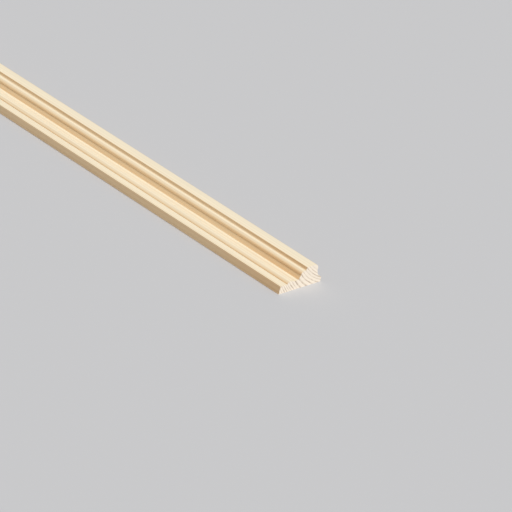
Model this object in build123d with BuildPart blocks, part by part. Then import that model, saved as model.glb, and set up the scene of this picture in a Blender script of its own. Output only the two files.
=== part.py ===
"""A length of softwood cover strip moulding, machined from one piece of wood.

The strip lies on its flat back. The section climbs in steps from a low front edge to a
high top fillet, which rolls over at the back into a hollow that ends in a thin lip.
Sizes are in millimetres: +X along the strip, +Y from front edge to lip, +Z up from the back.
The origin is the centre of the flat back.
"""

import os

from build123d import *

# Overall sizes
length = 2400.0
width = 34.0
thickness = 12.0

# Front members, from the front edge inwards
front_fillet_width = 5.25
front_quirk_height = 0.25
front_round_width = 2.45
front_round_height = 1.15
front_round_bulge = 0.36
dish_width = 6.05
dish_fall = 0.55
dish_depth = 0.34
cove_width = 1.2
cove_height = 2.0
cove_depth = 0.1
ovolo_quirk_height = 0.75
ovolo_quirk_depth = 0.35
ovolo_width = 2.15
ovolo_height = 1.8
ovolo_bulge = 0.5
shoulder_width = 0.6
step_cove_radius = 1.0
top_step_height = 1.9

# Back members, from the top down to the lip
nose_radius = 3.0
nose_drop = 0.5
hollow_depth = 1.1
hollow_width = 5.4
lip_height = 2.8

# How far up the undercut quirk its throat lies, from 0 at the foot to 1 at the head
throat_share = 0.85

# The planer leaves the outer edges of the face eased very slightly
arris_radius = 0.3

# Heights that follow from the members, from the top down
shoulder_height = thickness - top_step_height
ovolo_foot = shoulder_height - ovolo_height
cove_head = ovolo_foot - ovolo_quirk_height
throat_height = cove_head + throat_share * ovolo_quirk_height
cove_foot = cove_head - cove_height
crest_height = cove_foot + dish_fall
quirk_head = crest_height - front_round_height
front_edge_height = quirk_head - front_quirk_height

# Places across the strip that follow from the members, from the front edge back
quirk_place = front_fillet_width
crest_place = quirk_place + front_round_width
dish_back = crest_place + dish_width
cove_back = dish_back + cove_width
shoulder_front = cove_back + ovolo_width
shoulder_back = shoulder_front + shoulder_width
step_place = shoulder_back + step_cove_radius

# Places of the back members, from the lip forwards
nose_back = width - hollow_width
nose_front = nose_back - nose_radius
nose_foot = thickness - nose_radius
hollow_head = nose_foot - nose_drop

# The outer edges that are eased, each as a place across the strip and a height
arrises = [
    (0, front_edge_height),
    (step_place, thickness),
    (width, lip_height),
]

section_plane = Plane(origin=(-length / 2, -width / 2, 0), x_dir=(0, 1, 0), z_dir=(1, 0, 0))

with BuildPart() as cover_strip:
    with BuildSketch(section_plane) as section:
        with BuildLine() as outline:
            # Front edge, front fillet and the quirk behind it
            Polyline(
                (0, 0),
                (0, front_edge_height),
                (quirk_place, front_edge_height),
                (quirk_place, quirk_head),
            )
            # Low round up to a crest, then the broad shallow dish that falls to the cove
            SagittaArc(
                (quirk_place, quirk_head),
                (crest_place, crest_height),
                front_round_bulge,
            )
            SagittaArc((crest_place, crest_height), (dish_back, cove_foot), -dish_depth)
            # Steep cove up to the fine undercut quirk, then the rounded ovolo over it
            SagittaArc((dish_back, cove_foot), (cove_back, cove_head), -cove_depth)
            Polyline(
                (cove_back, cove_head),
                (cove_back + ovolo_quirk_depth, throat_height),
                (cove_back, ovolo_foot),
            )
            SagittaArc((cove_back, ovolo_foot), (shoulder_front, shoulder_height), ovolo_bulge)
            # Shoulder, the small cove at the foot of the step, the step and the wide top fillet
            Line((shoulder_front, shoulder_height), (shoulder_back, shoulder_height))
            RadiusArc(
                (shoulder_back, shoulder_height),
                (step_place, shoulder_height + step_cove_radius),
                -step_cove_radius,
            )
            Polyline(
                (step_place, shoulder_height + step_cove_radius),
                (step_place, thickness),
                (nose_front, thickness),
            )
            # Rounded nose, then the hollow back down to the lip
            RadiusArc((nose_front, thickness), (nose_back, nose_foot), nose_radius)
            Line((nose_back, nose_foot), (nose_back, hollow_head))
            SagittaArc((nose_back, hollow_head), (width, lip_height), -hollow_depth)
            Polyline((width, lip_height), (width, 0), (0, 0))
        make_face()
        corners = section.vertices()
        fillet([corners.sort_by_distance(place)[0] for place in arrises], radius=arris_radius)
    extrude(amount=length)

cover_strip.part.label = "cover_strip"
os.makedirs("parts", exist_ok=True)
export_step(cover_strip.part, "parts/cover_strip.step")
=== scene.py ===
# %% [markdown]
# # A cover strip moulding in planed pine
#
# A cover strip is a long, thin stick of softwood that hides the joint between two boards. A
# spindle moulder runs a sawn strip past shaped knives, so the section is exactly the same from
# end to end. This lesson cuts the section in the same spirit, one member after another from
# front to back. Then it fills the strip with wood that is solid all through, and lights it on a
# pale studio floor.

from math import asin, hypot, pi, radians

import bmesh
import bpy
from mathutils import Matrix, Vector


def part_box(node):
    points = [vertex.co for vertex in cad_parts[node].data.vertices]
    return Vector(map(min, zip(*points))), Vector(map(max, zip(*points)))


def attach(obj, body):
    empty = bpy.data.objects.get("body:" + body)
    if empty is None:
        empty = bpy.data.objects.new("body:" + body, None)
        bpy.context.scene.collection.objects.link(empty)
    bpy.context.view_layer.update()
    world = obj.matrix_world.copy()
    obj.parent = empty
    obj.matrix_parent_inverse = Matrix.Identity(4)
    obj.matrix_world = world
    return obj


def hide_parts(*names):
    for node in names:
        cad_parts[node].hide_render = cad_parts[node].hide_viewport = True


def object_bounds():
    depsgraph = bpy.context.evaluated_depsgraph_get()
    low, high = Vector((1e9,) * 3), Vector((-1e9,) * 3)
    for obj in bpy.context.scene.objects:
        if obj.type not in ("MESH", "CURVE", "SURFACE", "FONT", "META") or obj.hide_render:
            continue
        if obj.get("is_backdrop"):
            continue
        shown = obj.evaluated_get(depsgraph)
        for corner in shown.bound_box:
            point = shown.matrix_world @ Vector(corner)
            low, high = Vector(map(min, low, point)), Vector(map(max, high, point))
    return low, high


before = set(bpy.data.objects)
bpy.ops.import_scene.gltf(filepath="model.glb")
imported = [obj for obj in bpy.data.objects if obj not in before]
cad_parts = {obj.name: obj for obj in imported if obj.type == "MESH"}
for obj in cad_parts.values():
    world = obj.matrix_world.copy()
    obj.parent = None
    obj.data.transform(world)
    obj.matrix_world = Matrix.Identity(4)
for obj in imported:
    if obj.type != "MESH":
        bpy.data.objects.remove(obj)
cad_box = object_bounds()
mm = 0.001
low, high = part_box("cover_strip")
length, width, thickness = high - low
print(f"the strip is {length / mm:.0f} mm long, {width / mm:.1f} wide and {thickness / mm:.1f} thick")

# %% [markdown]
# ## The members of the section
#
# Joiners name each small shape of a moulding. From the thin front edge this one has a flat
# fillet, a tiny upright quirk, a low round, a broad shallow dish, a steep cove, a fine undercut
# quirk, an ovolo, a narrow shoulder and the step up to the wide top fillet. Behind that, the
# nose rolls over into a long hollow that runs out to a thin lip.
#
# The heights could be counted up from the flat back, but the planed top is the face that a
# machinist gauges. So they are counted down from it, and what they leave is the front edge. The
# widths come later, each where its member is cut.

# %% Heights of the front members
top_step_height = 1.9 * mm
ovolo_height = 1.8 * mm
ovolo_quirk_height = 0.75 * mm
cove_height = 2.0 * mm
dish_fall = 0.55 * mm
front_round_height = 1.15 * mm
front_quirk_height = 0.25 * mm

climb = front_quirk_height + front_round_height - dish_fall + cove_height + ovolo_quirk_height
front_edge_height = thickness - top_step_height - ovolo_height - climb
print(f"that leaves a front edge {front_edge_height / mm:.2f} mm high")

# %% [markdown]
# ## One long edge that draws like a pen
#
# A moulding could be a curve with a bevel profile, but that softens the corners of the profile
# and leaves the ends open. Or its end could be drawn point by point and extruded once, but then
# every arc has to be worked out by hand. Here a plane stands where the front edge is, and its
# top edge, as long as the strip, is the pen. Extrude carries the pen straight, and spin swings
# it round an arc, so each member leaves its own clean strip of faces behind.
#
# Edit-mode tools act on all that is picked, so everything is let go before the pen is picked.

# %% Stand the front edge up
def work_on(piece):
    """Lets go of everything else and opens one piece in edit mode, with nothing picked."""
    bpy.ops.object.select_all(action="DESELECT")
    piece.select_set(True)
    bpy.context.view_layer.objects.active = piece
    bpy.ops.object.mode_set(mode="EDIT")
    bpy.ops.mesh.select_mode(type="EDGE")
    bpy.ops.mesh.select_all(action="DESELECT")


def pick_edges(piece, wanted, shortest=0):
    """Picks, in edit mode, each edge from shortest up whose two corners both pass the test."""
    mesh = bmesh.from_edit_mesh(piece.data)
    for edge in mesh.edges:
        long_enough = edge.calc_length() > shortest
        edge.select_set(long_enough and all(wanted(corner.co) for corner in edge.verts))
    bmesh.update_edit_mesh(piece.data)
    return sum(edge.select for edge in mesh.edges)


bpy.ops.object.select_all(action="DESELECT")
bpy.ops.mesh.primitive_plane_add(
    size=1, location=(0, low.y, front_edge_height / 2), rotation=(pi / 2, 0, 0)
)
strip = bpy.context.object
strip.name = "moulded_strip"
strip.scale = (length, front_edge_height, 1)
bpy.ops.object.transform_apply(location=True, rotation=True, scale=True)
work_on(strip)
pen = Vector((0, low.y, front_edge_height))
picked = pick_edges(strip, lambda corner: corner.z > front_edge_height / 2)
print(f"the pen is {picked} long edge, {pen.z / mm:.2f} mm above the back")

# %% [markdown]
# ## The front fillet and its quirk
#
# The front fillet is the flat band along the thin edge. The quirk behind it is a step hardly
# higher than a pencil line, and it gives the next member a crisp line to start from. An inset
# could make such flats too, but it gives all of them one width. Extruding the pen by a stated
# amount makes each flat exactly as wide as its knife.

# %% Carry the pen over the fillet and up the quirk
def carry(across, up):
    """Extrudes the pen straight, across and up."""
    pen.y += across
    pen.z += up
    bpy.ops.mesh.extrude_region_move(TRANSFORM_OT_translate={"value": (0, across, up)})


front_fillet_width = 5.25 * mm
carry(front_fillet_width, 0)
carry(0, front_quirk_height)
print(f"the quirk stands {(pen.y - low.y) / mm:.2f} mm behind the front edge")

# %% [markdown]
# ## The low round and the shallow dish
#
# The low round swells up from the quirk to a crest, and from there the broad dish falls gently
# to the foot of the cove. The dish is so shallow that only a slow change of light gives it away.
# A subdivision surface could shape both, but it would melt the quirk beside them as well.
#
# A joiner sets out an arc by its two ends and by how far it stands off the straight line between
# them. Spin asks for a centre and an angle instead, and both follow from that bulge.

# %% Swing the pen over the round and through the dish
arc_step = radians(7)
fewest_steps = 4


def swing(across, up, bulge):
    """Spins the pen to a point, on an arc that stands bulge off the straight line.

    A bulge above nothing rounds the wood outwards, and one below nothing hollows it."""
    chord = hypot(across, up)
    radius = (chord**2 / 4 + bulge**2) / (2 * abs(bulge))
    half_angle = asin(min(chord / 2 / radius, 1))
    side = 1 if bulge > 0 else -1
    reach = radius - abs(bulge)
    middle = pen + Vector((0, across / 2, up / 2))
    centre = middle + side * reach / chord * Vector((0, up, -across))
    steps = max(fewest_steps, round(2 * half_angle / arc_step))
    bpy.ops.mesh.spin(steps=steps, angle=side * 2 * half_angle, center=centre, axis=(1, 0, 0))
    pen.y += across
    pen.z += up


front_round_width = 2.45 * mm
front_round_bulge = 0.36 * mm
dish_width = 6.05 * mm
dish_depth = 0.34 * mm
swing(front_round_width, front_round_height, front_round_bulge)
swing(dish_width, -dish_fall, -dish_depth)
print(f"the dish ends {(pen.y - low.y) / mm:.2f} mm back and {pen.z / mm:.2f} mm up")

# %% [markdown]
# ## The cove, the undercut quirk and the ovolo
#
# The cove climbs steeply out of the dish, and the ovolo is the plump round member above it.
# Between the two, the knife has cut a fine quirk whose throat lies deeper than the edges beside
# it, so it keeps a dark line in any light. A boolean could cut such a groove, but it would split
# the long faces into slivers. Two short straight moves, in and back out, do the same.

# %% Climb the cove, cut the quirk and round the ovolo
cove_width = 1.2 * mm
cove_depth = 0.1 * mm
ovolo_quirk_depth = 0.35 * mm
throat_share = 0.85
ovolo_width = 2.15 * mm
ovolo_bulge = 0.5 * mm
swing(cove_width, cove_height, -cove_depth)
carry(ovolo_quirk_depth, ovolo_quirk_height * throat_share)
carry(-ovolo_quirk_depth, ovolo_quirk_height * (1 - throat_share))
swing(ovolo_width, ovolo_height, ovolo_bulge)
print(f"the ovolo's head is {pen.z / mm:.2f} mm up")

# %% [markdown]
# ## The shoulder and the step
#
# A narrow flat shoulder ends the ovolo, and behind it stands the step up to the top. A knife's
# sharp point wears away first, so the foot of the step is a small quarter cove. It could be
# bevelled in afterwards, but the pen draws it just as well on its way. The bulge of a quarter
# circle is always the same share of its radius, one less the square root of a half.

# %% Climb the step
shoulder_width = 0.6 * mm
step_cove_radius = 1.0 * mm
quarter_bulge = 1 - 0.5**0.5
carry(shoulder_width, 0)
swing(step_cove_radius, step_cove_radius, -step_cove_radius * quarter_bulge)
carry(0, top_step_height - step_cove_radius)
step_place = pen.y
print(f"the step stands {(step_place - low.y) / mm:.2f} mm behind the front edge")

# %% [markdown]
# ## The top fillet, the nose, the hollow and the lip
#
# The wide top fillet is the face that was gauged. The nose rounds it over at the back, and under
# a short drop the hollow runs out to a thin lip. A moulding is turned over in the hand, so its
# back gets the same care as its face. The last two moves go down the edge of the lip and home
# under the flat back, which closes the section where the pen began.

# %% Round the nose, sink the hollow and come home
nose_radius = 3.0 * mm
nose_drop = 0.5 * mm
hollow_width = 5.4 * mm
hollow_depth = 1.1 * mm
lip_height = 2.8 * mm
carry(high.y - hollow_width - nose_radius - pen.y, 0)
swing(nose_radius, -nose_radius, nose_radius * quarter_bulge)
carry(0, -nose_drop)
swing(hollow_width, lip_height - pen.z, -hollow_depth)
carry(0, -pen.z)
carry(-width, 0)
print(f"the pen is back at {pen.y / mm:.2f}, {pen.z / mm:.2f} mm")

# %% [markdown]
# ## Closing the two sawn ends
#
# The pen's path has left a long tube. A saw cuts each end straight across, so a lid closes it. A
# grid fill would add faces that a flat lid doesn't need, and one many-sided face is enough.
#
# The pen came home on top of the edge where it began, so the doubled corners are merged first.
# Spin can also leave faces that look inwards, so all of them are turned outwards at the end.

# %% Merge the seam and add the lids
seam_gap = 0.001 * mm
close_enough = 0.01 * mm
bpy.ops.mesh.select_all(action="SELECT")
bpy.ops.mesh.remove_doubles(threshold=seam_gap)
for end in (low.x, high.x):
    bpy.ops.mesh.select_all(action="DESELECT")
    rim = pick_edges(strip, lambda corner: abs(corner.x - end) < close_enough)
    bpy.ops.mesh.edge_face_add()
    print(f"a lid with {rim} sides closes the end at {end:.1f} m")
bpy.ops.mesh.select_all(action="SELECT")
bpy.ops.mesh.normals_make_consistent(inside=False)

# %% [markdown]
# ## Easing the arrises
#
# No planed edge stays razor sharp. The outer edges catch a thin line of light because they are
# eased by a fraction of a millimetre, and the inside corners stay as sharp as the knife. A Bevel
# modifier could ease edges by their angle, but it would round the fine quirks too. So the three
# outer edges are picked by their place, and bevelled by hand.

# %% Ease the outer edges
arris_radius = 0.3 * mm
arris_segments = 3
round_profile = 0.5
smooth_up_to = radians(30)
arrises = [
    (low.y, front_edge_height),
    (step_place, thickness),
    (high.y, lip_height),
]


def on_an_arris(corner):
    """True where a corner lies on one of the outer edges."""
    return any(hypot(corner.y - y, corner.z - z) < close_enough for y, z in arrises)


bpy.ops.mesh.select_all(action="DESELECT")
eased = pick_edges(strip, on_an_arris, shortest=length / 2)
bpy.ops.mesh.bevel(
    offset=arris_radius, segments=arris_segments, profile=round_profile, affect="EDGES"
)
bpy.ops.object.mode_set(mode="OBJECT")
bpy.ops.object.shade_smooth_by_angle(angle=smooth_up_to)
print(f"{eased} edges are eased, and the strip has {len(strip.data.polygons)} faces")

# %% [markdown]
# ## Wood that is solid all through
#
# Grain that is drawn on a surface never meets up at a corner. This pine is a block of growth
# rings in space, and each face simply shows the rings that it cuts through: fine arcs on the
# sawn ends, long streaks on the planed faces. The tree's heart lay above and behind the strip.
#
# A Wave Texture makes rings in one step, but all alike. A good summer grows a wide ring and a
# poor one a narrow ring, so here each year has its own outer radius and its own darkness.

# %% The heart and the years
heart_across = 29.1 * mm
heart_height = 40.7 * mm
grain_slope = (0, radians(0.05), radians(0.1))
first_radius = 33.4

# Each year's outer radius in millimetres, and how dark its late wood came out, from 0 to 1
years = [
    (35.2, 0.4), (37.2, 0.22), (38.55, 0.7), (40.0, 0.88), (41.5, 0.6), (43.2, 0.7),
    (44.9, 0.95), (47.4, 0.8), (49.9, 0.9), (51.55, 0.55), (53.05, 1.0), (54.4, 0.6),
    (55.4, 0.6), (56.65, 0.8), (57.95, 0.9), (59.3, 0.6), (60.8, 0.6),
]
last_radius = years[-1][0]
mean_ring = (last_radius - first_radius) / len(years)
print(f"{len(years)} years cross the strip, {mean_ring:.2f} mm apart on average")

# %% [markdown]
# ## A group for the growth rings
#
# The planed faces and the sawn ends show the same rings. Their nodes could be wired up twice,
# once in each material, but a group is built once, and every finish then uses it.
#
# Nodes are wired by hand in the shader editor. In code each of them takes several lines, so
# three helpers keep the cells short: one feeds a socket, one adds a node and one starts a group.

# %% Start the growth rings
node_spacing = 200


def feed(tree, value, socket):
    """Links another socket into this one, or sets a plain value on it."""
    if isinstance(value, bpy.types.NodeSocket):
        tree.links.new(value, socket)
    else:
        socket.default_value = value


def add_node(tree, kind, spot, **values):
    """Adds a node at a column and a row, and gives its named inputs and settings."""
    node = tree.nodes.new(kind)
    node.location = (spot[0] * node_spacing, -spot[1] * node_spacing)
    for name, value in values.items():
        if name in node.inputs:
            feed(tree, value, node.inputs[name])
        else:
            setattr(node, name, value)
    return node


def new_group(name, takes, gives):
    """Starts a group from the names and kinds of the sockets that it takes and gives."""
    group = bpy.data.node_groups.new(name, "ShaderNodeTree")
    for in_out, sockets in (("INPUT", takes), ("OUTPUT", gives)):
        for label, kind in sockets.items():
            group.interface.new_socket(name=label, in_out=in_out, socket_type="NodeSocket" + kind)
    ways_in = add_node(group, "NodeGroupInput", (0, 0))
    ways_out = add_node(group, "NodeGroupOutput", (14, 0))
    return group, ways_in, ways_out


rings, rings_in, rings_out = new_group(
    "growth rings", {"Place": "Vector"}, {"Late wood": "Float", "Year tone": "Float"}
)
print(f"the rings group gives {[socket.name for socket in rings_out.inputs if socket.name]}")

# %% [markdown]
# ## Measuring from the heart
#
# A point's ring is decided by how far it lies from the heart, which is a line through the tree.
# The distance could be had from a sum of squares and its root. It is shorter to move the zero to
# the heart with a Mapping node, which also tilts the grain, and to flatten what lies along the
# strip. The length of the arrow that is left is the distance, here in millimetres.

# %% Measure from the heart
from_heart = add_node(
    rings, "ShaderNodeMapping", (1, 0), vector_type="TEXTURE", Vector=rings_in.outputs["Place"],
    Location=(high.x, heart_across, heart_height), Rotation=grain_slope,
)
flat = add_node(rings, "ShaderNodeVectorMath", (2, 0), operation="MULTIPLY")
feed(rings, from_heart.outputs["Vector"], flat.inputs[0])
feed(rings, (0, 1 / mm, 1 / mm), flat.inputs[1])
distance = add_node(rings, "ShaderNodeVectorMath", (3, 0), operation="LENGTH")
feed(rings, flat.outputs["Vector"], distance.inputs[0])
true_radius = distance.outputs["Value"]
print(f"so far the group has {len(rings.nodes)} nodes")

# %% [markdown]
# ## Rings that sway
#
# No tree grows in true circles. Its rings sway a little as they go round and along the trunk.
# The whole place could be warped with noise, but a number added to the radius is easier to keep
# small. Noise comes out between 0 and 1 and hovers about one half, so half is taken off, and the
# rest is scaled to millimetres. Wood changes slowly along the grain, so the noise is drawn out.

# %% Let the rings sway
noise_middle = 0.5


def maths(tree, work, spot, a, b=0):
    """Adds a Math node for one sum, and returns its result."""
    node = add_node(tree, "ShaderNodeMath", spot, operation=work)
    feed(tree, a, node.inputs[0])
    feed(tree, b, node.inputs[1])
    return node.outputs["Value"]


def drawn_noise(row, waves):
    """Noise that is drawn out along the strip, by its waves per metre along, across and up."""
    drawn = add_node(
        rings, "ShaderNodeMapping", (1, row), Vector=rings_in.outputs["Place"], Scale=waves
    )
    noise = add_node(
        rings, "ShaderNodeTexNoise", (2, row), Vector=drawn.outputs["Vector"], Scale=1, Detail=1
    )
    return noise.outputs["Fac"]


def sway(row, waves, reach):
    """Drawn-out noise, as the millimetres by which a ring strays from its circle."""
    centred = maths(rings, "SUBTRACT", (3, row), drawn_noise(row, waves), noise_middle)
    return maths(rings, "MULTIPLY", (4, row), centred, reach)


slow_sway = sway(2, waves=(3, 60, 60), reach=0.8)
quick_sway = sway(3, waves=(12, 500, 500), reach=0.35)
wander = maths(rings, "ADD", (5, 2), slow_sway, quick_sway)
radius = maths(rings, "ADD", (6, 0), true_radius, wander)
print(f"with its sway the group has {len(rings.nodes)} nodes")

# %% [markdown]
# ## Counting the years
#
# The years' widths differ, so the age of the wood can't be had by a division. A curve does it:
# it is drawn through each year's outer radius, and it climbs one year between each and the next.
# Straight handles keep it even within a year. The whole years in an age say which ring it is,
# and the rest says the season.

# %% Turn the radius into years
grown = maths(rings, "SUBTRACT", (7, 0), radius, first_radius)
share = maths(rings, "DIVIDE", (8, 0), grown, last_radius - first_radius)
growth = add_node(rings, "ShaderNodeFloatCurve", (9, 0), Value=share)
growth.mapping.use_clip = False
growth.mapping.extend = "EXTRAPOLATED"
curve = growth.mapping.curves[0]
for year, (outer_radius, _) in enumerate(years[:-1], start=1):
    curve.points.new((outer_radius - first_radius) / (last_radius - first_radius), year / len(years))
for point in curve.points:
    point.handle_type = "VECTOR"
growth.mapping.update()
age = maths(rings, "MULTIPLY", (10, 0), growth.outputs["Value"], len(years))
season = maths(rings, "FRACT", (11, 0), age)
print(f"the curve has {len(curve.points)} points")

# %% [markdown]
# ## Late wood
#
# In spring the tree grows pale, soft early wood. Towards autumn the wood turns slowly darker and
# harder, and then it stops dead. So a ring is soft on its heart side and sharp on its bark side.
# A sine wave would be soft on both, and a ramp over the season can be soft on one only. A second
# ramp, over the years, gives each ring its own darkness.

# %% Darken the late wood
def tone_ramp(tree, spot, factor, tones, interpolation="LINEAR"):
    """Adds a ramp of greys, from pairs of a place and a tone, of which the first is at 0."""
    node = add_node(tree, "ShaderNodeValToRGB", spot, Fac=factor)
    node.color_ramp.interpolation = interpolation
    stops = node.color_ramp.elements
    stops.remove(stops[1])
    for at, tone in tones[1:]:
        stops.new(at)
    for stop, (at, tone) in zip(stops, tones):
        stop.color = (tone, tone, tone, 1)
    return node.outputs["Color"]


season_tones = [(0, 0.3), (0.06, 0), (0.55, 0.05), (0.84, 1), (1, 1)]
year_tones = [(year / len(years), darkness) for year, (_, darkness) in enumerate(years)]
late = tone_ramp(rings, (12, 0), season, season_tones)
dark = tone_ramp(rings, (12, 1), growth.outputs["Value"], year_tones, "CONSTANT")
print(f"the seasons have {len(season_tones)} tones and the years {len(year_tones)}")

# %% [markdown]
# ## Patches in the grain
#
# A ring isn't equally dark all along. It fades and comes back every few centimetres, because the
# strip cuts it now here, now there. The darkness could be painted by hand, but then it wouldn't
# run on round the corners. Drawn-out noise in space does, and a Map Range keeps some of each
# ring where it fades. A random number for each year comes out as its tone, which makes that
# year's wood a very little lighter or darker.

# %% Let the late wood fade in patches
def map_range(tree, spot, value, old, new):
    """Adds a node that takes a value from the old range to the new one, and holds it there."""
    limits = zip(("From Min", "From Max", "To Min", "To Max"), (*old, *new))
    return add_node(tree, "ShaderNodeMapRange", spot, Value=value, **dict(limits)).outputs["Result"]


fading_noise = (0.35, 0.6)
strength_left = (0.45, 1)
patch_noise = drawn_noise(4, waves=(8, 260, 260))
patch = map_range(rings, (11, 3), patch_noise, old=fading_noise, new=strength_left)
patchy = maths(rings, "MULTIPLY", (13, 1), dark, patch)
shown = maths(rings, "MULTIPLY", (13, 0), late, patchy)
feed(rings, shown, rings_out.inputs["Late wood"])

this_year = maths(rings, "FLOOR", (11, 2), age)
lot = add_node(rings, "ShaderNodeTexWhiteNoise", (12, 2), noise_dimensions="1D", W=this_year)
feed(rings, lot.outputs["Value"], rings_out.inputs["Year tone"])
print(f"the finished rings group has {len(rings.nodes)} nodes")

# %% [markdown]
# ## Fine fibres
#
# Between the rings, softwood is a bundle of fibres finer than a hair. On a planed face they show
# as faint streaks, and on a sawn end as tiny dots. Stretched bands could draw the streaks, but
# they would be too even, and would show no dots. Noise that is drawn out fifty times along the
# grain gives both, as it is seen from the side or cut across.

# %% A group for the fine fibres
fibre_stretch = 50

fibres, fibres_in, fibres_out = new_group(
    "fibres", {"Place": "Vector", "Per metre": "Float"}, {"Fibre": "Float"}
)
drawn_out = add_node(
    fibres, "ShaderNodeMapping", (1, 0), Vector=fibres_in.outputs["Place"],
    Scale=(1 / fibre_stretch, 1, 1),
)
strands = add_node(
    fibres, "ShaderNodeTexNoise", (2, 0), Vector=drawn_out.outputs["Vector"],
    Scale=fibres_in.outputs["Per metre"], Detail=3, Roughness=0.6,
)
feed(fibres, strands.outputs["Fac"], fibres_out.inputs["Fibre"])
print(f"the fibres group has {len(fibres.nodes)} nodes")

# %% [markdown]
# ## The colour of pine
#
# Pine is pale straw in its early wood and amber in its late wood. The late wood's mask blends
# the two colours, and the fibres and the year's tone make the result a few hundredths lighter or
# darker. The nodes could be repeated in each finish, but as a group they are made once, and each
# finish brings its own two colours.

# %% A group for the colour
def mix_colours(tree, spot, share, first, second, blend_type="MIX"):
    """Adds a Mix node for colours. Its colour sockets are told apart by their identifiers."""
    node = add_node(tree, "ShaderNodeMix", spot, data_type="RGBA", blend_type=blend_type)
    inputs = {socket.identifier: socket for socket in node.inputs}
    outputs = {socket.identifier: socket for socket in node.outputs}
    feed(tree, share, inputs["Factor_Float"])
    feed(tree, first, inputs["A_Color"])
    feed(tree, second, inputs["B_Color"])
    return outputs["Result_Color"]


def faint(tree, row, value, contrast):
    """Noise about its middle, faded to a small part of its contrast."""
    centred = maths(tree, "SUBTRACT", (1, row), value, noise_middle)
    return maths(tree, "MULTIPLY", (2, row), centred, contrast)


colour, colour_in, colour_out = new_group(
    "pine colour",
    {
        "Early wood": "Color", "Late wood": "Color", "Rings": "Float", "Ring strength": "Float",
        "Fibre": "Float", "Year tone": "Float",
    },
    {"Colour": "Color"},
)
wood = colour_in.outputs
ring_share = maths(colour, "MULTIPLY", (1, 0), wood["Rings"], wood["Ring strength"])
blend = mix_colours(colour, (2, 0), ring_share, wood["Early wood"], wood["Late wood"])
streaks = faint(colour, 2, wood["Fibre"], contrast=0.2)
year_tints = faint(colour, 3, wood["Year tone"], contrast=0.04)
lightness = maths(colour, "ADD", (4, 2), maths(colour, "ADD", (3, 2), streaks, year_tints), 1)
tint = add_node(colour, "ShaderNodeHueSaturation", (5, 0), Color=blend, Value=lightness)
feed(colour, tint.outputs["Color"], colour_out.inputs["Colour"])
print(f"the colour group has {len(colour.nodes)} nodes")

# %% [markdown]
# ## The feel of the surface
#
# A planed face feels smooth, but its fibres and its harder late wood stand up by a hundredth of a
# millimetre, which is enough to break up the shine. Late wood is denser, so it is also a little
# glossier. Real displacement would need millions of faces. A bump takes a height from here, and
# needs none.

# %% A group for relief and roughness
late_wood_shine = -0.08

surface, surface_in, surface_out = new_group(
    "pine surface",
    {
        "Fibre": "Float", "Fibre depth": "Float", "Rings": "Float", "Ring depth": "Float",
        "Tool marks": "Float", "Plain roughness": "Float",
    },
    {"Height": "Float", "Roughness": "Float"},
)
traits = surface_in.outputs
fibre_height = maths(surface, "MULTIPLY", (1, 0), traits["Fibre"], traits["Fibre depth"])
ring_height = maths(surface, "MULTIPLY", (1, 1), traits["Rings"], traits["Ring depth"])
grain_height = maths(surface, "ADD", (2, 0), fibre_height, ring_height)
full_height = maths(surface, "ADD", (3, 0), grain_height, traits["Tool marks"])
feed(surface, full_height, surface_out.inputs["Height"])
shine = maths(surface, "MULTIPLY", (1, 3), traits["Rings"], late_wood_shine)
roughness = maths(surface, "ADD", (2, 3), shine, traits["Plain roughness"])
feed(surface, roughness, surface_out.inputs["Roughness"])
print(f"the surface group has {len(surface.nodes)} nodes")

# %% [markdown]
# ## One recipe for both finishes
#
# A finish places the four groups in a material and wires them to its Principled shader. That
# could be done by hand for each finish, but one recipe keeps them alike. Both finishes read the
# same rings and fibres at Object coordinates, so the rings run unbroken from one to the other,
# and each finish gives the recipe its own values.

# %% Join the groups to a shader
def place_group(tree, spot, group, takes):
    """Places a group in a material, feeds it by its sockets' names, and returns what it gives."""
    node = add_node(tree, "ShaderNodeGroup", spot, node_tree=group)
    for label, value in takes.items():
        feed(tree, value, node.inputs[label])
    return node.outputs


def wood_finish(name, early, late, ring_strength, fibre_count, depths, roughness, tool_marks):
    """Makes one finish of the pine. depths are how far its fibres and its rings stand up."""
    material = bpy.data.materials.new(name)
    material.use_nodes = True
    tree = material.node_tree
    place = add_node(tree, "ShaderNodeTexCoord", (0, 0)).outputs["Object"]
    ring = place_group(tree, (2, 0), rings, {"Place": place})
    fibre = place_group(tree, (2, 2), fibres, {"Place": place, "Per metre": fibre_count})

    grain = {"Rings": ring["Late wood"], "Fibre": fibre["Fibre"]}
    tones = {
        "Early wood": (*early, 1), "Late wood": (*late, 1), "Ring strength": ring_strength,
        "Year tone": ring["Year tone"],
    }
    relief = {
        "Fibre depth": depths[0], "Ring depth": depths[1], "Tool marks": tool_marks(tree, place),
        "Plain roughness": roughness,
    }
    look = place_group(tree, (5, 0), colour, {**grain, **tones})
    feel = place_group(tree, (5, 3), surface, {**grain, **relief})
    bump = add_node(tree, "ShaderNodeBump", (7, 3), Height=feel["Height"], Distance=1)
    shader = tree.nodes["Principled BSDF"]
    shader.location = (10 * node_spacing, 0)
    feed(tree, look["Colour"], shader.inputs["Base Color"])
    feed(tree, feel["Roughness"], shader.inputs["Roughness"])
    feed(tree, bump.outputs["Normal"], shader.inputs["Normal"])
    print(f"{name} has {len(tree.nodes)} nodes")
    return material


print(f"the recipe joins {[group.name for group in (rings, fibres, colour, surface)]}")

# %% [markdown]
# ## The ripples of the planer
#
# A moulder's cutter turns fast while the strip runs under it, so each stroke of its knives leaves
# a shallow ripple. Real ripples could be modelled, but they are a thousand times finer than the
# members. The strokes come evenly, so a sine wave along the strip is all that they need.

# %% Ripples along the strip
ripple_pitch = 1.7 * mm
ripple_depth = 0.002 * mm


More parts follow.
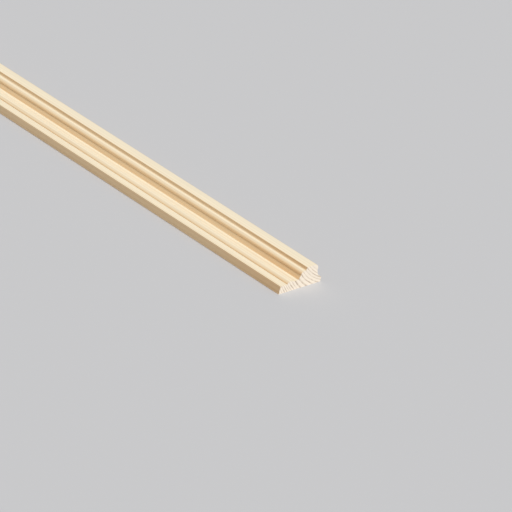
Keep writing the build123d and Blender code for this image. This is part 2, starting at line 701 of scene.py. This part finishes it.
def planer_ripples(tree, place):
    """The height that a turning cutter leaves, one ripple for every stroke of its knives."""
    along = add_node(tree, "ShaderNodeSeparateXYZ", (1, 6), Vector=place).outputs["X"]
    turn = maths(tree, "MULTIPLY", (2, 6), along, 2 * pi / ripple_pitch)
    wave = maths(tree, "SINE", (3, 6), turn)
    return maths(tree, "MULTIPLY", (4, 6), wave, ripple_depth)


print(f"{length / ripple_pitch:.0f} ripples fit on the strip")

# %% [markdown]
# ## The planed finish
#
# All the long faces come straight from the knives, silky and without any varnish. A ready-made
# image of wood would be quicker, but it would repeat, and it would stop at every corner. So the
# recipe gets the values of fresh pine instead: straw and amber that lie close together, rings at
# half their strength, and fibres a little under half a millimetre across.

# %% Wire up the planed faces
planed = wood_finish(
    "planed pine", early=(0.93, 0.817, 0.61), late=(0.77, 0.57, 0.34), ring_strength=0.5,
    fibre_count=2200, depths=(0.01 * mm, 0.01 * mm), roughness=0.6, tool_marks=planer_ripples,
)

# %% [markdown]
# ## The sawn finish
#
# On its ends the same wood is cut across. A saw opens the grain, so the ends are rougher, drier
# and less yellow than the faces, with stronger rings. It came down through the strip and left
# upright scratches. An even wave would look like a machine's ripples again, so these come from
# noise that is drawn out from top to bottom.

# %% Wire up the sawn ends
scratch_depth = 0.03 * mm
scratch_waves = (0, 900, 60)


def saw_scratches(tree, place):
    """The height that a fine saw leaves as it comes down through the strip."""
    down = add_node(tree, "ShaderNodeMapping", (1, 6), Vector=place, Scale=scratch_waves)
    scratch = add_node(
        tree, "ShaderNodeTexNoise", (2, 6), Vector=down.outputs["Vector"], Scale=1, Detail=3
    )
    return maths(tree, "MULTIPLY", (3, 6), scratch.outputs["Fac"], scratch_depth)


sawn = wood_finish(
    "sawn pine end", early=(0.894, 0.794, 0.66), late=(0.46, 0.35, 0.25), ring_strength=0.95,
    fibre_count=4000, depths=(0.03 * mm, 0.03 * mm), roughness=0.85, tool_marks=saw_scratches,
)

# %% [markdown]
# ## Painted shade on the steep sides
#
# The steep faces get a painted shade: their colour is multiplied by a warmer, browner tone,
# which stands in for the warm look of wood in shade. Within the last few centimetres of each
# end, the steep faces get a second tone that makes them a little darker and warmer still.
#
# Each steep member could have a material of its own, but then the tone would change with a jolt
# at every edge. The surface's own normal says how steep it is: its upward part is 1 on a level
# face and 0 on an upright one, and a face counts as fully steep from 0.6 down. The place says
# how near an end is, so the tone comes and goes smoothly with both.

# %% Paint shade on the steep faces
level_face = 1
steep_face = 0.6
end_tone_starts = 55 * mm
end_tone_is_full = 10 * mm


def painted_shade(material, tone, end_tone):
    """Multiplies a finish's colour by a painted shade tone where it is steep, and by one more tone on
    steep faces near an end.
    """
    tree = material.node_tree
    base = tree.nodes["Principled BSDF"].inputs["Base Color"]
    plain = base.links[0].from_socket
    point = add_node(tree, "ShaderNodeTexCoord", (4, 8)).outputs
    facing = add_node(tree, "ShaderNodeSeparateXYZ", (5, 8), Vector=point["Normal"])
    level = maths(tree, "ABSOLUTE", (6, 8), facing.outputs["Z"])
    steep = map_range(tree, (7, 8), level, old=(level_face, steep_face), new=(0, 1))
    # painted shade: the colour is multiplied by a warm, brown tone where the face is steep
    steep_shaded = mix_colours(tree, (8, 8), steep, plain, (*tone, 1), blend_type="MULTIPLY")

    place = add_node(tree, "ShaderNodeSeparateXYZ", (5, 9), Vector=point["Object"])
    from_middle = maths(tree, "ABSOLUTE", (6, 9), place.outputs["X"])
    reach = (high.x - end_tone_starts, high.x - end_tone_is_full)
    near_end = map_range(tree, (7, 9), from_middle, old=reach, new=(0, 1))
    # within the last few centimetres of each end, the steep faces get a second, darker and warmer
    # tone
    near_end_steep = maths(tree, "MULTIPLY", (8, 9), near_end, steep)
    warmer = mix_colours(tree, (9, 8), near_end_steep, steep_shaded, (*end_tone, 1), blend_type="MULTIPLY")
    feed(tree, warmer, base)


# painted shade on the steep faces of the planed finish, and a darker, warmer tone on them near each
# end
painted_shade(planed, tone=(1.0, 0.84, 0.67), end_tone=(0.975, 0.915, 0.855))
print(f"with its burnish {planed.name} has {len(planed.node_tree.nodes)} nodes")

# %% [markdown]
# ## Dressing the strip
#
# Only the two lids are sawn, and everything between them is planed. The faces could be picked
# one by one, but a lid's normal points straight along the strip and no other face's does, so the
# normal tells them apart.

# %% Give each face its finish
planed_slot, sawn_slot = 0, 1
nearly_along = 0.9
strip.data.materials.append(planed)
strip.data.materials.append(sawn)
for face in strip.data.polygons:
    looks_along = abs(face.normal.x) > nearly_along
    face.material_index = sawn_slot if looks_along else planed_slot
ends = sum(face.material_index == sawn_slot for face in strip.data.polygons)
print(f"{ends} faces are sawn ends")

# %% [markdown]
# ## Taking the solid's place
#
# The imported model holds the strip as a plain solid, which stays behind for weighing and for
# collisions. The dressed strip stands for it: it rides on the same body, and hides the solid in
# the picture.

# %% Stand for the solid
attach(strip, "root")
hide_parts("cover_strip")
print(f"{strip.name} stands for cover_strip")

# %% [markdown]
# ## A pale floor
#
# The strip lies on a plain studio floor. A curved backdrop is only needed where the horizon
# shows, and this camera looks down too steeply for that, so one large plane is enough. Its matt
# grey is lighter than the wood's shade and darker than its lit faces, so both stand out.

# %% Floor
floor_size = 80
pale_grey = (0.57, 0.57, 0.58, 1)
matt = 0.9
bpy.ops.object.select_all(action="DESELECT")
bpy.ops.mesh.primitive_plane_add(size=floor_size)
floor = bpy.context.object
floor.name = "studio_floor"
paint = bpy.data.materials.new("floor paint")
paint.use_nodes = True
coat = paint.node_tree.nodes["Principled BSDF"].inputs
coat["Base Color"].default_value = pale_grey
coat["Roughness"].default_value = matt
floor.data.materials.append(paint)
floor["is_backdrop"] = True
print(f"the floor is {floor.dimensions.x:.0f} m wide")

# %% [markdown]
# ## Soft light
#
# A moulding is read by its shade. One broad lamp stands high beyond the shown end and shines
# along the strip, so the level faces and the sawn end are bright, and the steep faces along the
# front fall into soft shade. An area lamp would fade along a strip this long, and a sun shines
# evenly on all of it. A wide angle softens its shadows, and the pale room lifts the shade.

# %% Lamp and room
towards_lamp = Vector((0.60, 0.02, 0.70))
lamp_angle = radians(20)
lamp_strength = 2.76
bpy.ops.object.select_all(action="DESELECT")
bpy.ops.object.light_add(type="SUN", location=(2, 1, 3))
lamp = bpy.context.object
lamp.name = "soft_lamp"
lamp.rotation_euler = towards_lamp.to_track_quat("Z", "Y").to_euler()
lamp.data.angle = lamp_angle
lamp.data.energy = lamp_strength

white = (1, 1, 1, 1)
room_strength = 0.35
room = bpy.data.worlds.new("studio")
bpy.context.scene.world = room
room.use_nodes = True
glow = room.node_tree.nodes["Background"].inputs
glow["Color"].default_value = white
glow["Strength"].default_value = room_strength
print(f"the lamp has a strength of {lamp_strength} and the room one of {room_strength}")

# %% [markdown]
# ## The camera
#
# The picture looks along the strip from beyond its shown end. A wide lens close by would make the
# strip race away to a point, and a long lens from further off keeps its two edges nearly
# parallel. The camera is held at a slant, so the upright edges lean to the right.

# %% Camera
camera_place = Vector((1.8460, -0.9732, 0.5820))
camera_aim = Vector((1.1657, 0.0033, 0))
camera_lean = radians(15.76)
lens_mm = 176.4
sensor_mm = 36
furthest_seen = 200
bpy.ops.object.select_all(action="DESELECT")
bpy.ops.object.camera_add(location=camera_place)
camera = bpy.context.object
camera.rotation_euler = (camera_aim - camera_place).to_track_quat("-Z", "Y").to_euler()
camera.rotation_euler.rotate_axis("Z", camera_lean)
camera.data.lens = lens_mm
camera.data.sensor_width = sensor_mm
camera.data.clip_end = furthest_seen
bpy.context.scene.camera = camera
bpy.context.scene.view_settings.view_transform = "Standard"
print(f"the camera stands {(camera_aim - camera_place).length:.2f} m from what it aims at")

# %% [markdown]
# ## The two boxes
#
# The box around the imported model was kept at the start, and the box around the dressed one is
# measured now. Both are printed.

# %% Print both boxes
new_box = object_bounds()
boxes = {"cad": [list(corner) for corner in cad_box], "visual": [list(corner) for corner in new_box]}
for name, box in boxes.items():
    print(name, "box", [[round(value, 4) for value in corner] for corner in box])
